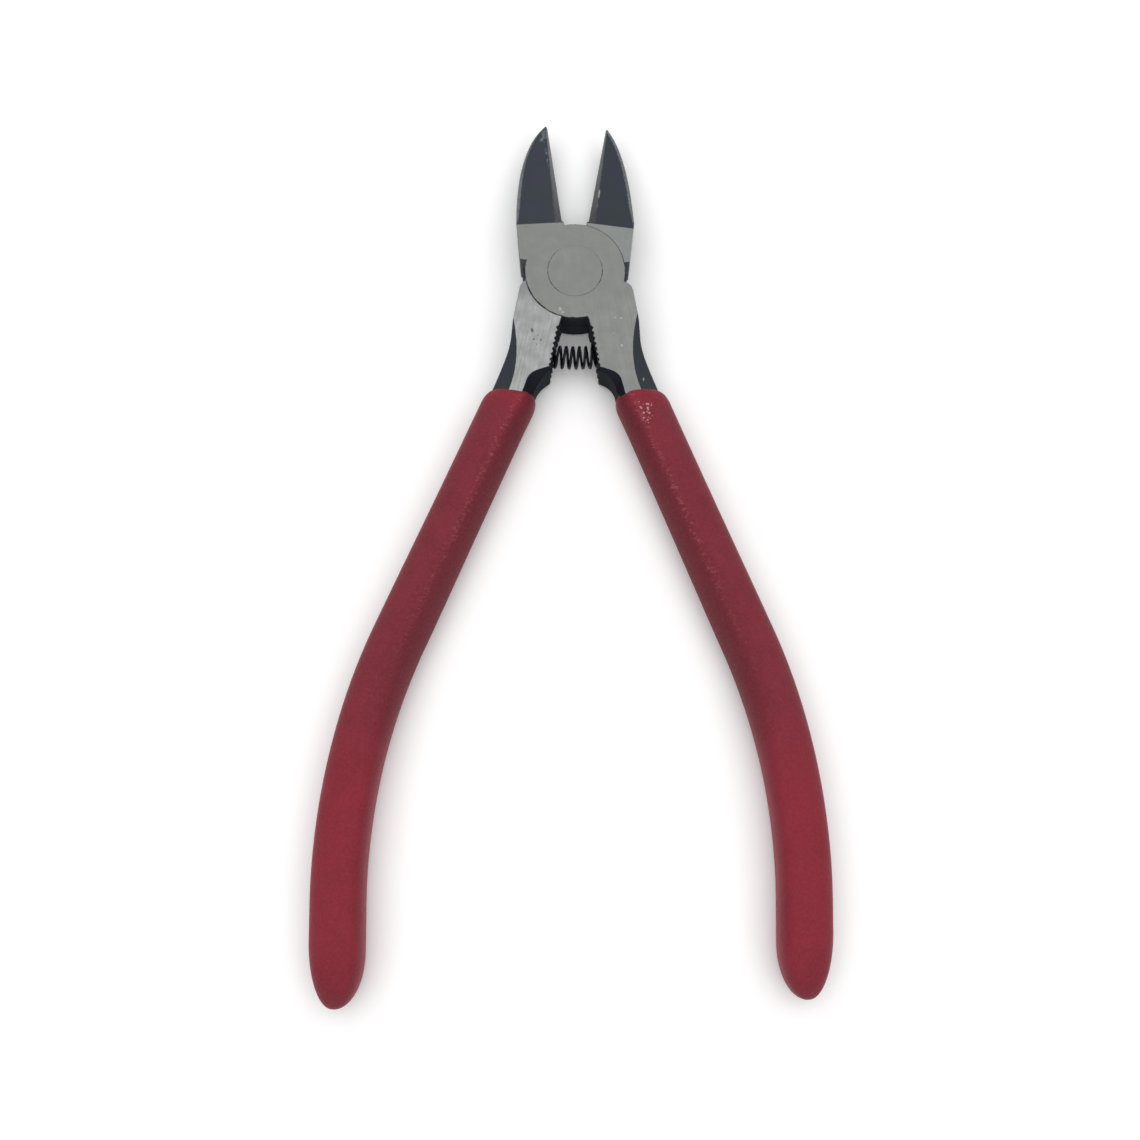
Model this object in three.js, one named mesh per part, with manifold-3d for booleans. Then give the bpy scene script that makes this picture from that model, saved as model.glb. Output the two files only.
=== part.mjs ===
// Side cutters with a lap joint, a coiled return spring and dipped grips.
// Millimetres. +Z faces the viewer, +Y points to the jaws, and the pivot axis is the Z axis.
// The rear face of the head is at z = 0. Each half is drawn closed, in its own frame, and then turned open.
import * as THREE from 'three';
import { mergeVertices } from 'three/addons/utils/BufferGeometryUtils.js';
import Module from 'manifold-3d';

// Driving dimensions: pose and head
const OPENING_DEG = 21.3;
const HEAD_THICKNESS = 8.6;
const HEAD_HALF_WIDTH = 9.3;
const LAP_GAP = 0.3;
const SEAM_CLEARANCE = 0.2;
const FRONT_DISC_RADIUS = 8.9;
const REAR_DISC_RADIUS = 9.4;
const THROAT_RADIUS = 8.9;
const THROAT_SECTOR_DEG = [-135, -84];
const FRONT_JAW_SHOULDER_DEG = 23.3;
const REAR_JAW_SHOULDER_DEG = 20.8;
const FRONT_NECK_SHOULDER_DEG = 23.5;
const REAR_NECK_SHOULDER_DEG = 22;

// Driving dimensions: jaws
const FRONT_JAW_REACH = 30.5;
const REAR_JAW_REACH = 30.05;
const JAW_ROOT = new THREE.Vector2(8.7, 11.0);
const FRONT_JAW_BULGE = new THREE.Vector2(6.2, 26.2);
const REAR_JAW_BULGE = new THREE.Vector2(5.0, 25.3);
const FRONT_EDGE_LEAN = 0.4;
const REAR_EDGE_LEAN = -0.03;
const TIP_WIDTH = 0.3;
const TIP_THICKNESS = 1.6;
const EDGE_SETBACK = 0.35;
const EDGE_BEVEL_DEG = 18.5;
const EDGE_BEVEL_START = 0.3;
const FRONT_FACET_START = 9.35;
const REAR_FACET_START = 9.3;
const FRONT_FACET_SKEW_DEG = 7.3;
const REAR_FACET_SKEW_DEG = 3.4;

// Driving dimensions: rivet
const RIVET_RADIUS = 4.82;
const RIVET_SHANK_RADIUS = 3.6;
const RIVET_HEAD_DEPTH = 1.6;
const RIVET_CLEARANCE = 0.2;

// Driving dimensions: necks between the head and the grips
const FRONT_NECK_HALF_WIDTH = 9.5;
const REAR_NECK_HALF_WIDTH = 9.05;
const NECK_CORNER = 1.5;
const NECK_SIDE_END = 11.2;
const FRONT_NECK_WAIST = new THREE.Vector2(8.95, 16.2);
const REAR_NECK_WAIST = new THREE.Vector2(8.6, 16.0);
const CORNER_TIGHTNESS = 0.6;
const FRONT_NECK_INNER_BEND = new THREE.Vector2(3.4, 20.5);
const REAR_NECK_INNER_BEND = new THREE.Vector2(2.6, 21.0);
const NECK_INNER_AT_GRIP = 3.8;
const NECK_OUTER_AT_GRIP = 3.5;
const FRONT_FLAT_WIDTH = 2.85;
const REAR_FLAT_WIDTH = 2.3;
const FRONT_FLAT_OFFSET = -1.04;
const REAR_FLAT_OFFSET = -0.7;
const FLAT_OUTER_START = new THREE.Vector2(9.6, 9.5);
const FLAT_OUTER_WAIST = new THREE.Vector2(6.0, 17.3);
const FLAT_INNER_BEND = new THREE.Vector2(4.3, 20.2);
const FLAT_INNER_START = new THREE.Vector2(0.3, 18.02);
const FLANK_DEG = 40;
const FLANK_LEAD = 0.5;
const INNER_FLANK_DIRECTION_DEG = -139;
const THROAT_WALL = 0.85;
const THROAT_DEPTH = 19.0;
const SERRATION_START = 10.6;
const SERRATION_COUNT = 8;
const SERRATION_PITCH = 1.0;
const SERRATION_DEPTH = 0.4;

// Driving dimensions: handles, tangs and grips
const FRONT_HANDLE_OFFSET = 1.88;
const REAR_HANDLE_OFFSET = 1.35;
const FRONT_HANDLE_ANGLE_DEG = 12.4;
const REAR_HANDLE_ANGLE_DEG = 12.8;
const HANDLE_BEND_START = 70.4;
const HANDLE_BEND_RADIUS = 106.5;
const HANDLE_END_ANGLE_DEG = -11.7;
const RIGHT_GRIP_END = 130.2;
const LEFT_GRIP_END = 132.1;
const GRIP_START = 23.6;
const RIGHT_GRIP_SHIFT = -0.05;
const LEFT_GRIP_SHIFT = -0.18;
const GRIP_WIDTH = 9.1;
const GRIP_THICKNESS = 10.0;
const GRIP_SWELL = 0.4;
const GRIP_SWELL_SPREAD = 20;
const GRIP_OUTER_SQUARENESS = 2.8;
const GRIP_INNER_SQUARENESS_ABOVE_BEND = 1.5;
const GRIP_INNER_SQUARENESS_BELOW_BEND = 2.8;
const GRIP_BEND_SPAN = [72, 100];
const GRIP_CREST_OFFSET = -1.3;
const GRIP_LIP_LENGTH = 3.0;
const GRIP_LIP_DEPTH = 1.1;
const GRIP_END_TAPER = 10;
const GRIP_END_SHARE = 0.08;
const GRIP_END_LEAN = 0.9;
const GRIP_END_WALL = 6;
const GRIP_CLEARANCE = 0.3;
const TANG_WIDTH = 6.0;
const TANG_THICKNESS = 6.4;
const TANG_END_SHARE = 0.6;
const TANG_SQUARENESS = 3;

// Driving dimensions: return spring
const SPRING_DISTANCE = 15.3;
const SPRING_WIRE = 0.5;
const SPRING_COIL_RADIUS = 1.87;
const SPRING_PITCH = 1.2;
const SPRING_SOCKET_DEPTH = 4.0;
const SPRING_CLEARANCE = 0.45;
const SPRING_END_GAP = 0.3;

// Facet counts
const DISC_SEGMENTS = 72;
const RIVET_SEGMENTS = 48;
const CURVE_STEPS = 10;
const SECTION_POINTS = 20;
const LIP_STEPS = 4;
const TAPER_STEPS = 7;
const SPRING_STEPS_PER_CURL = 8;
const SPRING_SIDES = 5;

// Values worked out from the driving dimensions
const rad = THREE.MathUtils.degToRad;
const halfOpening = rad(OPENING_DEG / 2);
const midHeight = HEAD_THICKNESS / 2;
const lapFace = midHeight + LAP_GAP / 2;
const cutReach = 4 * (FRONT_JAW_REACH + GRIP_START);
const neckEnd = -GRIP_START + GRIP_CLEARANCE;
const mergeDistance = 1e-5;

// What differs between the two halves
const frontPattern = {
  reach: FRONT_JAW_REACH,
  bulge: FRONT_JAW_BULGE,
  lean: FRONT_EDGE_LEAN,
  facetStart: FRONT_FACET_START,
  facetSkew: rad(FRONT_FACET_SKEW_DEG),
  jawShoulder: rad(FRONT_JAW_SHOULDER_DEG),
  neckShoulder: rad(FRONT_NECK_SHOULDER_DEG),
  discRadius: FRONT_DISC_RADIUS,
  otherDiscRadius: REAR_DISC_RADIUS,
  neckHalfWidth: FRONT_NECK_HALF_WIDTH,
  waist: FRONT_NECK_WAIST,
  innerBend: FRONT_NECK_INNER_BEND,
  flatWidth: FRONT_FLAT_WIDTH,
  flatOffset: FRONT_FLAT_OFFSET,
  handleOffset: FRONT_HANDLE_OFFSET,
  handleAngle: rad(FRONT_HANDLE_ANGLE_DEG),
  gripEnd: RIGHT_GRIP_END,
  gripShift: RIGHT_GRIP_SHIFT,
};
const rearPattern = {
  reach: REAR_JAW_REACH,
  bulge: REAR_JAW_BULGE,
  lean: REAR_EDGE_LEAN,
  facetStart: REAR_FACET_START,
  facetSkew: rad(REAR_FACET_SKEW_DEG),
  jawShoulder: rad(REAR_JAW_SHOULDER_DEG),
  neckShoulder: rad(REAR_NECK_SHOULDER_DEG),
  discRadius: REAR_DISC_RADIUS,
  otherDiscRadius: FRONT_DISC_RADIUS,
  neckHalfWidth: REAR_NECK_HALF_WIDTH,
  waist: REAR_NECK_WAIST,
  innerBend: REAR_NECK_INNER_BEND,
  flatWidth: REAR_FLAT_WIDTH,
  flatOffset: REAR_FLAT_OFFSET,
  handleOffset: REAR_HANDLE_OFFSET,
  handleAngle: rad(REAR_HANDLE_ANGLE_DEG),
  gripEnd: LEFT_GRIP_END,
  gripShift: LEFT_GRIP_SHIFT,
};

const wasm = await Module();
wasm.setup();

// Solids: geometry to manifold and back
function toSolid(geometry) {
  const bare = geometry.clone();
  bare.deleteAttribute('normal');
  bare.deleteAttribute('uv');
  const merged = mergeVertices(bare, mergeDistance);
  const mesh = new wasm.Mesh({
    numProp: 3,
    vertProperties: new Float32Array(merged.attributes.position.array),
    triVerts: new Uint32Array(merged.index.array),
  });
  return new wasm.Manifold(mesh);
}

function toGeometry(solid) {
  const mesh = solid.getMesh();
  const geometry = new THREE.BufferGeometry();
  geometry.setAttribute('position', new THREE.BufferAttribute(new Float32Array(mesh.vertProperties), 3));
  geometry.setIndex(new THREE.BufferAttribute(new Uint32Array(mesh.triVerts), 1));
  geometry.computeVertexNormals();
  return geometry;
}

// A closed skin through rings of points, with a flat fan on the first and the last ring
function loft(rings) {
  const count = rings[0].length;
  const positions = rings.flat().flatMap((point) => point.toArray());
  const index = [];
  for (let ring = 0; ring < rings.length - 1; ring += 1) {
    for (let i = 0; i < count; i += 1) {
      const a = ring * count + i;
      const b = ring * count + ((i + 1) % count);
      index.push(a, b, b + count, a, b + count, a + count);
    }
  }
  const last = (rings.length - 1) * count;
  for (let i = 1; i < count - 1; i += 1) {
    index.push(0, i + 1, i, last, last + i, last + i + 1);
  }
  const geometry = new THREE.BufferGeometry();
  geometry.setAttribute('position', new THREE.Float32BufferAttribute(positions, 3));
  geometry.setIndex(index);
  return geometry;
}

function prism(shape, low, high) {
  const geometry = new THREE.ExtrudeGeometry(shape, {
    depth: high - low,
    bevelEnabled: false,
    curveSegments: CURVE_STEPS,
  });
  geometry.translate(0, 0, low);
  return toSolid(geometry);
}

function discSpace(radius, low, high) {
  const geometry = new THREE.CylinderGeometry(radius, radius, high - low, DISC_SEGMENTS);
  geometry.rotateX(Math.PI / 2);
  geometry.translate(0, 0, (low + high) / 2);
  return toSolid(geometry);
}

// Everything on the outer side of a plane, as a block far larger than the part
function halfSpace(point, normal) {
  const geometry = new THREE.BoxGeometry(cutReach, cutReach, cutReach);
  geometry.translate(0, 0, cutReach / 2);
  const up = new THREE.Vector3(0, 0, 1);
  geometry.applyQuaternion(new THREE.Quaternion().setFromUnitVectors(up, normal.clone().normalize()));
  geometry.translate(point.x, point.y, point.z);
  return toSolid(geometry);
}

// Jaw: a curved outline with sloped faces on both sides and a bevelled cutting edge at mid height
function jaw({ reach, bulge, lean, facetStart, facetSkew, jawShoulder }) {
  const edgeTip = new THREE.Vector3(lean, reach, midHeight);
  const edgeRoot = new THREE.Vector3(-EDGE_SETBACK, facetStart, midHeight);
  const shape = new THREE.Shape();
  shape.moveTo(0, 0);
  shape.lineTo(edgeRoot.x, edgeRoot.y);
  shape.lineTo(edgeTip.x, edgeTip.y);
  shape.lineTo(edgeTip.x - TIP_WIDTH, edgeTip.y);
  shape.quadraticCurveTo(-bulge.x, bulge.y, -JAW_ROOT.x, JAW_ROOT.y);
  shape.lineTo(-HEAD_HALF_WIDTH, HEAD_HALF_WIDTH * Math.tan(jawShoulder));
  let solid = prism(shape, 0, HEAD_THICKNESS);

  const edgeLine = edgeTip.clone().sub(edgeRoot).normalize();
  const downhill = new THREE.Vector3(Math.sin(facetSkew), Math.cos(facetSkew), 0);
  const run = (reach - facetStart) * downhill.y;
  const slope = Math.atan2((HEAD_THICKNESS - TIP_THICKNESS) / 2, run);
  for (const side of [1, -1]) {
    const facetNormal = downhill.clone().multiplyScalar(Math.sin(slope));
    facetNormal.z = side * Math.cos(slope);
    const border = new THREE.Vector3(0, facetStart, midHeight + side * midHeight);
    solid = solid.subtract(halfSpace(border, facetNormal));
    const bevelNormal = new THREE.Vector3(edgeLine.y, -edgeLine.x, 0);
    bevelNormal.multiplyScalar(Math.cos(rad(EDGE_BEVEL_DEG)));
    bevelNormal.z = side * Math.sin(rad(EDGE_BEVEL_DEG));
    const bevelStart = border.clone().addScaledVector(downhill, EDGE_BEVEL_START);
    solid = solid.subtract(halfSpace(edgeRoot, bevelNormal).intersect(halfSpace(bevelStart, downhill)));
  }
  return solid;
}

// Handle centre line in a half's own frame: straight, then one arc inwards, then straight
function handleCentre({ handleOffset, handleAngle: start }, y) {
  const end = rad(HANDLE_END_ANGLE_DEG);
  const bendX = handleOffset + HANDLE_BEND_START * Math.tan(start);
  if (y >= -HANDLE_BEND_START) {
    return { x: handleOffset - y * Math.tan(start), angle: start };
  }
  const sine = Math.sin(start) + (y + HANDLE_BEND_START) / HANDLE_BEND_RADIUS;
  if (sine >= Math.sin(end)) {
    const angle = Math.asin(sine);
    return { x: bendX + HANDLE_BEND_RADIUS * (Math.cos(angle) - Math.cos(start)), angle };
  }
  const endY = -HANDLE_BEND_START + HANDLE_BEND_RADIUS * (Math.sin(end) - Math.sin(start));
  const endX = bendX + HANDLE_BEND_RADIUS * (Math.cos(end) - Math.cos(start));
  return { x: endX + (endY - y) * Math.tan(end), angle: end };
}

// Runs a path straight towards a corner, round it, and straight on to its end
function turnCorner(path, corner, end) {
  const into = path.currentPoint.clone().lerp(corner, CORNER_TIGHTNESS);
  const out = end.clone().lerp(corner, CORNER_TIGHTNESS);
  path.lineTo(into.x, into.y);
  path.quadraticCurveTo(corner.x, corner.y, out.x, out.y);
  path.lineTo(end.x, end.y);
}

// Neck: the handle's bare steel, with saw teeth in the throat and bevelled flanks above and below
function neck(pattern) {
  const endCentre = handleCentre(pattern, neckEnd).x;
  const shoulder = -pattern.neckShoulder;
  const cornerReach = pattern.neckHalfWidth / Math.cos(shoulder);
  const shape = new THREE.Shape();
  shape.moveTo(0, 0);
  const serrationEnd = SERRATION_START + SERRATION_COUNT * SERRATION_PITCH;
  shape.lineTo(THROAT_WALL, -SERRATION_START);
  for (let tooth = 0; tooth < SERRATION_COUNT; tooth += 1) {
    const top = SERRATION_START + tooth * SERRATION_PITCH;
    shape.lineTo(THROAT_WALL + SERRATION_DEPTH, -top - SERRATION_PITCH / 2);
    shape.lineTo(THROAT_WALL, -top - SERRATION_PITCH);
  }
  shape.lineTo(THROAT_WALL, -Math.max(THROAT_DEPTH, serrationEnd));
  shape.quadraticCurveTo(pattern.innerBend.x, -pattern.innerBend.y, endCentre - NECK_INNER_AT_GRIP, neckEnd);
  shape.lineTo(endCentre + NECK_OUTER_AT_GRIP, neckEnd);
  const waist = new THREE.Vector2(pattern.waist.x, -pattern.waist.y);
  turnCorner(shape, waist, new THREE.Vector2(pattern.neckHalfWidth, -NECK_SIDE_END));
  shape.lineTo(pattern.neckHalfWidth, cornerReach * Math.sin(shoulder) - NECK_CORNER);
  shape.quadraticCurveTo(
    pattern.neckHalfWidth,
    cornerReach * Math.sin(shoulder),
    (cornerReach - NECK_CORNER) * Math.cos(shoulder),
    (cornerReach - NECK_CORNER) * Math.sin(shoulder),
  );
  let solid = prism(shape, 0, HEAD_THICKNESS);

  const flatCentre = endCentre + pattern.flatOffset;
  const belowNeck = neckEnd - FLANK_LEAD;
  const outerFlat = new THREE.QuadraticBezierCurve(
    new THREE.Vector2(FLAT_OUTER_START.x, -FLAT_OUTER_START.y),
    new THREE.Vector2(FLAT_OUTER_WAIST.x, -FLAT_OUTER_WAIST.y),
    new THREE.Vector2(flatCentre + pattern.flatWidth / 2, belowNeck),
  );
  const innerFlat = new THREE.Path();
  innerFlat.moveTo(flatCentre - pattern.flatWidth / 2, belowNeck);
  const flatBend = new THREE.Vector2(FLAT_INNER_BEND.x, -FLAT_INNER_BEND.y);
  turnCorner(innerFlat, flatBend, new THREE.Vector2(FLAT_INNER_START.x, -FLAT_INNER_START.y));
  const outwards = new THREE.Vector2(1, 0);
  const inwards = outwards.clone().rotateAround(new THREE.Vector2(), rad(INNER_FLANK_DIRECTION_DEG));
  for (const side of [1, -1]) {
    solid = solid.subtract(flankCut(outerFlat, outwards, side));
    solid = solid.subtract(flankCut(innerFlat, inwards, side));
  }
  return solid;
}

// Wedge that bevels one edge of the neck: it starts on the flat's border and falls away from the flat
function flankCut(border, away, side) {
  const fall = Math.tan(rad(FLANK_DEG));
  const face = midHeight + side * midHeight;
  const reach = HEAD_THICKNESS / 2;
  const rings = border.getPoints(CURVE_STEPS).map((point) => {
    const near = point.clone().addScaledVector(away, -FLANK_LEAD);
    const far = point.clone().addScaledVector(away, reach);
    const triangle = [
      new THREE.Vector3(near.x, near.y, face + side * FLANK_LEAD * fall),
      new THREE.Vector3(far.x, far.y, face + side * FLANK_LEAD * fall),
      new THREE.Vector3(far.x, far.y, face - side * reach * fall),
    ];
    return side > 0 ? triangle.reverse() : triangle;
  });
  return toSolid(loft(rings));
}

// Rounded section across a handle at height y, as a superellipse: 2 is an ellipse, larger is squarer.
// The two sides can differ, the crest can lie off the middle, and the whole section can lean sideways.
function section(pattern, y, halfWidth, halfThickness, [outer, inner], crest = 0, lean = 0) {
  const centre = handleCentre(pattern, y);
  const points = [];
  for (let i = 0; i < SECTION_POINTS; i += 1) {
    const angle = (2 * Math.PI * i) / SECTION_POINTS;
    const c = Math.cos(angle);
    const s = Math.sin(angle);
    const side = Math.sign(c);
    const squareness = side > 0 ? outer : inner;
    const x = crest + lean + side * Math.abs(c) ** (2 / squareness) * (halfWidth - side * crest);
    const z = Math.sign(s) * Math.abs(s) ** (2 / squareness) * halfThickness;
    points.push(new THREE.Vector3(centre.x + x / Math.cos(centre.angle), y, midHeight + z));
  }
  return points;
}

function spread(from, to, steps) {
  return Array.from({ length: steps + 1 }, (_, i) => from + ((to - from) * i) / steps);
}

// Tang: the handle's slim steel core, with clearance added all round when it cuts the grip
function tang(pattern, clearance) {
  const start = neckEnd + GRIP_CLEARANCE;
  const end = -pattern.gripEnd + GRIP_END_WALL - clearance;
  const rings = spread(start, end, CURVE_STEPS).map((y, i) => {
    const share = 1 - ((1 - TANG_END_SHARE) * i) / CURVE_STEPS;
    const halfWidth = (TANG_WIDTH / 2) * share + clearance;
    const halfThickness = (TANG_THICKNESS / 2) * share + clearance;
    return section(pattern, y, halfWidth, halfThickness, [TANG_SQUARENESS, TANG_SQUARENESS]);
  });
  return toSolid(loft(rings));
}

// Grip: a dipped sleeve with a rounded lip, a slope on the inner side above the bend and a rounded point
function grip(pattern) {
  const lipEnd = -GRIP_START - GRIP_LIP_LENGTH;
  const taperStart = -pattern.gripEnd + GRIP_END_TAPER;
  const rings = [];
  const add = (y, inset, share) => {
    const swell = (GRIP_SWELL / 2) * Math.exp(-(((y + HANDLE_BEND_START) / GRIP_SWELL_SPREAD) ** 2));
    const halfWidth = (GRIP_WIDTH / 2 + swell - inset) * share;
    const halfThickness = (GRIP_THICKNESS / 2 - inset) * share;
    const crest = GRIP_CREST_OFFSET * share;
    const lean = pattern.gripShift + GRIP_END_LEAN * (1 - share);
    const below = THREE.MathUtils.smoothstep(-y, ...GRIP_BEND_SPAN);
    const inner = THREE.MathUtils.lerp(
      GRIP_INNER_SQUARENESS_ABOVE_BEND,
      GRIP_INNER_SQUARENESS_BELOW_BEND,
      below,
    );
    const squareness = [GRIP_OUTER_SQUARENESS, inner];
    rings.push(section(pattern, y, halfWidth, halfThickness, squareness, crest, lean));
  };
  for (const turn of spread(0, Math.PI / 2, LIP_STEPS)) {
    add(-GRIP_START - GRIP_LIP_LENGTH * (1 - Math.cos(turn)), GRIP_LIP_DEPTH * (1 - Math.sin(turn)), 1);
  }
  for (const y of spread(lipEnd, taperStart, 2 * CURVE_STEPS).slice(1)) {
    add(y, 0, 1);
  }
  for (const turn of spread(0, Math.PI / 2, TAPER_STEPS).slice(1, -1)) {
    add(taperStart - GRIP_END_TAPER * Math.sin(turn), 0, Math.cos(turn));
  }
  add(-pattern.gripEnd, 0, GRIP_END_SHARE);
  return toSolid(loft(rings)).subtract(tang(pattern, GRIP_CLEARANCE));
}

// Rivet with a flush countersunk head on each face; the cones run on past the faces by the overrun
function rivetProfile(clearance, overrun) {
  const shank = RIVET_SHANK_RADIUS + clearance;
  const flare = (RIVET_RADIUS - RIVET_SHANK_RADIUS) / RIVET_HEAD_DEPTH;
  const head = RIVET_RADIUS + clearance + overrun * flare;
  const profile = [
    new THREE.Vector2(0, -overrun),
    new THREE.Vector2(head, -overrun),
    new THREE.Vector2(shank, RIVET_HEAD_DEPTH),
    new THREE.Vector2(shank, HEAD_THICKNESS - RIVET_HEAD_DEPTH),
    new THREE.Vector2(head, HEAD_THICKNESS + overrun),
    new THREE.Vector2(0, HEAD_THICKNESS + overrun),
  ];
  const geometry = new THREE.LatheGeometry(profile, RIVET_SEGMENTS);
  geometry.rotateX(Math.PI / 2);
  return toSolid(geometry);
}

// Blind socket for one end of the spring, square to the throat wall
function springSocket() {
  const radius = SPRING_COIL_RADIUS + SPRING_WIRE / 2 + SPRING_CLEARANCE;
  const length = SPRING_SOCKET_DEPTH + THROAT_WALL;
  const geometry = new THREE.CylinderGeometry(radius, radius, length, DISC_SEGMENTS / 3);
  geometry.rotateZ(Math.PI / 2);
  geometry.translate(length / 2, -SPRING_DISTANCE, midHeight);
  return toSolid(geometry);
}

// Lap disc, relieved in the throat between the handles
function lapDisc(radius) {
  const [from, to] = THROAT_SECTOR_DEG.map(rad);
  const throat = Math.min(radius, THROAT_RADIUS);
  const shape = new THREE.Shape();
  shape.absarc(0, 0, throat, from, to, false);
  shape.absarc(0, 0, radius, to, from + 2 * Math.PI, false);
  const geometry = new THREE.ExtrudeGeometry(shape, {
    depth: HEAD_THICKNESS - lapFace,
    bevelEnabled: false,
    curveSegments: DISC_SEGMENTS / 2,
  });
  geometry.translate(0, 0, lapFace);
  return toSolid(geometry);
}

// One half: jaw on the left, lap disc in the upper layer, neck and tang on the right
function half(pattern) {
  const otherSpace = discSpace(pattern.otherDiscRadius + SEAM_CLEARANCE, -HEAD_THICKNESS, lapFace);
  return jaw(pattern)
    .add(neck(pattern))
    .subtract(otherSpace)
    .add(lapDisc(pattern.discRadius))
    .add(tang(pattern, 0))
    .subtract(springSocket())
    .subtract(rivetProfile(RIVET_CLEARANCE, LAP_GAP));
}

// Spring: one wire wound about an arc that meets both sockets square, with straight ends
function springPath() {
  const socketX = THROAT_WALL + SPRING_SOCKET_DEPTH - SPRING_END_GAP;
  const arcRadius = SPRING_DISTANCE + socketX / Math.tan(halfOpening);
  const arcCentreY = socketX * Math.sin(halfOpening) + (arcRadius - SPRING_DISTANCE) * Math.cos(halfOpening);
  const axisLength = 2 * halfOpening * arcRadius;
  const run = SPRING_WIRE / arcRadius;
  const reach = halfOpening - run;
  const curls = (axisLength - 2 * SPRING_WIRE) / SPRING_PITCH;
  const steps = Math.round(curls * SPRING_STEPS_PER_CURL);
  const at = (along, turn) => {
    const outward = new THREE.Vector3(Math.sin(along), -Math.cos(along), 0);
    const point = outward.clone().multiplyScalar(arcRadius + SPRING_COIL_RADIUS * Math.cos(turn));
    return point.add(new THREE.Vector3(0, arcCentreY, midHeight + SPRING_COIL_RADIUS * Math.sin(turn)));
  };
  const wound = spread(0, 1, steps).map((t) => at(reach * (2 * t - 1), 2 * Math.PI * curls * t));
  return [at(-halfOpening, 0), ...wound, at(halfOpening, 2 * Math.PI * curls)];
}

function wireTube(path) {
  const rings = [];
  let side = new THREE.Vector3(0, 0, 1);
  path.forEach((point, i) => {
    const before = path[Math.max(i - 1, 0)];
    const after = path[Math.min(i + 1, path.length - 1)];
    const along = after.clone().sub(before).normalize();
    side = side.clone().addScaledVector(along, -side.dot(along)).normalize();
    const across = along.clone().cross(side);
    const ring = [];
    for (let k = 0; k < SPRING_SIDES; k += 1) {
      const turn = (2 * Math.PI * k) / SPRING_SIDES;
      const offset = side.clone().multiplyScalar(Math.cos(turn)).addScaledVector(across, Math.sin(turn));
      ring.push(point.clone().addScaledVector(offset, SPRING_WIRE / 2));
    }
    rings.push(ring);
  });
  return loft(rings);
}

// Least gap between turns: points less than half a curl apart along the wire are neighbours, not turns
function leastGap(path) {
  let least = Infinity;
  for (let i = 0; i < path.length; i += 1) {
    for (let k = i + SPRING_STEPS_PER_CURL / 2; k < path.length; k += 1) {
      least = Math.min(least, path[i].distanceTo(path[k]) - SPRING_WIRE);
    }
  }
  return least;
}

// Materials
function finish(color, roughness, metalness) {
  return new THREE.MeshStandardMaterial({ color, roughness, metalness });
}

const groundSteel = () => finish(0x8b8d8a, 0.45, 0.9);
const rivetSteel = () => finish(0x8f918e, 0.45, 0.9);
const springSteel = () => finish(0x1b1c20, 0.5, 0.7);
const dippedVinyl = () => finish(0x86353d, 0.65, 0);

function piece(name, geometry, material) {
  const mesh = new THREE.Mesh(geometry, material);
  mesh.name = name;
  return mesh;
}

// Assembly: the front half turns one way, the rear half is flipped over and turns the other way
const cutters = new THREE.Group();
const frontSide = new THREE.Group();
frontSide.rotation.z = halfOpening;
frontSide.add(piece('front_half', toGeometry(half(frontPattern)), groundSteel()));
frontSide.add(piece('right_grip', toGeometry(grip(frontPattern)), dippedVinyl()));
frontSide.add(piece('pivot_rivet', toGeometry(rivetProfile(0, 0)), rivetSteel()));

const rearSide = new THREE.Group();
rearSide.rotation.z = -halfOpening;
const flipped = new THREE.Group();
flipped.rotation.y = Math.PI;
flipped.position.z = HEAD_THICKNESS;
flipped.add(piece('rear_half', toGeometry(half(rearPattern)), groundSteel()));
flipped.add(piece('left_grip', toGeometry(grip(rearPattern)), dippedVinyl()));
rearSide.add(flipped);

const wirePath = springPath();
console.log(`return_spring: least gap between turns ${leastGap(wirePath).toFixed(2)} mm`);
cutters.add(frontSide, rearSide, piece('return_spring', wireTube(wirePath), springSteel()));

export default cutters;
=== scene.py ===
"""Side cutters: two lapped steel halves on a flush rivet, a coiled return spring and two dipped grips."""
from functools import reduce
from math import asin, atan2, cos, exp, hypot, pi, radians, sin, tan

import bpy
import numpy as np
from mathutils import Matrix, Vector


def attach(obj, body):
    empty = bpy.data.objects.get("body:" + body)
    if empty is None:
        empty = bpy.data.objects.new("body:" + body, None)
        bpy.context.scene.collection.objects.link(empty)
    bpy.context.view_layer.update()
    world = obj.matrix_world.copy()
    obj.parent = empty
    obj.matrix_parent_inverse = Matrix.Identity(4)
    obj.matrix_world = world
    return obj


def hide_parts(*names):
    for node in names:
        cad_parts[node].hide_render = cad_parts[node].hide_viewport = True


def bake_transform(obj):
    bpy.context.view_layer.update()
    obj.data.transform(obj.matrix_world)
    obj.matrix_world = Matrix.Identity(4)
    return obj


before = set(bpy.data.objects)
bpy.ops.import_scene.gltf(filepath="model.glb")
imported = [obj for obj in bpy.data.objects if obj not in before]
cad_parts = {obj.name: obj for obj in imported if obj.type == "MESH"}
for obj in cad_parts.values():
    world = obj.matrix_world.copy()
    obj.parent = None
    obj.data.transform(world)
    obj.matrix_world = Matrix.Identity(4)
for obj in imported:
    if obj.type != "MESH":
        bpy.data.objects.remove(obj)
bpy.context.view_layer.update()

MM = 0.001

# Sizes are in millimetres, in the frame of a closed half: +Y to the jaw tip, +Z to the face of its own lap
# disc, and the pivot on the Z axis. The viewer sees the front half from +Z; the rear half is turned over.

# Head
HALF_OPENING = radians(10.65)
HEAD_THICKNESS = 8.6
MID = HEAD_THICKNESS / 2
HEAD_HALF_WIDTH = 9.3
LAP_CLEARANCE = 0.04
LAP_FACE = MID + LAP_CLEARANCE
SEAM_GAP = 0.06
SEAM_PRESS = 0.06
DISC_SEAM_OPENINGS = 1
THROAT_RADIUS = 8.9
THROAT_SECTOR_DEG = (-135, -84)

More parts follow.
